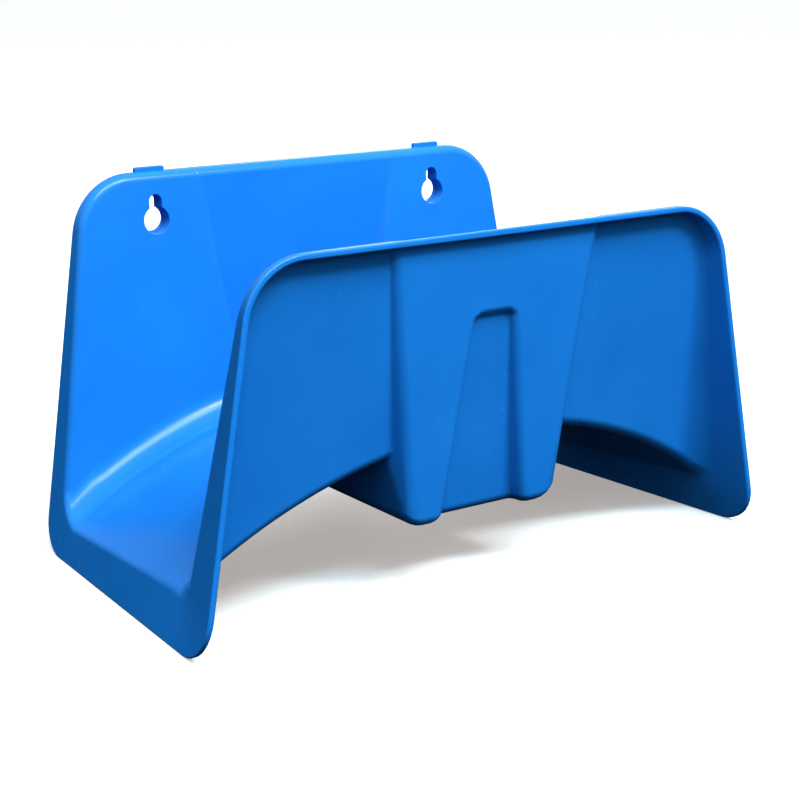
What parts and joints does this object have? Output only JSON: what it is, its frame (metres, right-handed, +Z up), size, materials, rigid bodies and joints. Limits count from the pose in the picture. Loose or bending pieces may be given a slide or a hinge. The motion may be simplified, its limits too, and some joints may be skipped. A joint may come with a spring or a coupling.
{
  "type": "pool vacuum hose hanger",
  "caption": "Wall-mounted plastic hanger that holds a coiled pool vacuum hose over an arched saddle between a back wall and a leaning front wall.",
  "frame": {"origin": "on the building's wall, midway between the two screws in the upper ends of the keyhole slots", "axes": "+X to the right seen from the front, +Y into the wall, +Z up"},
  "size_m": [0.3204, 0.1846, 0.1862],
  "materials": {
    "blue_plastic": "semi-gloss injection-moulded polypropylene"
  },
  "bodies": {
    "root": {"back_panel_left": "blue_plastic", "back_panel_right": "blue_plastic", "back_top_flange": "blue_plastic", "back_wing_left": "blue_plastic", "back_wing_right": "blue_plastic", "end_skirt_left": "blue_plastic", "end_skirt_right": "blue_plastic", "front_boss": "blue_plastic", "front_panel_left": "blue_plastic", "front_panel_right": "blue_plastic", "front_top_lip": "blue_plastic", "front_wing_left": "blue_plastic", "front_wing_right": "blue_plastic", "keyhole_collar_left": "blue_plastic", "keyhole_collar_right": "blue_plastic", "rear_recess": "blue_plastic", "saddle_left": "blue_plastic", "saddle_right": "blue_plastic", "top_tab_left": "blue_plastic", "top_tab_right": "blue_plastic", "trough": "blue_plastic", "wall_pad_left": "blue_plastic", "wall_pad_right": "blue_plastic"}
  },
  "joints": []
}
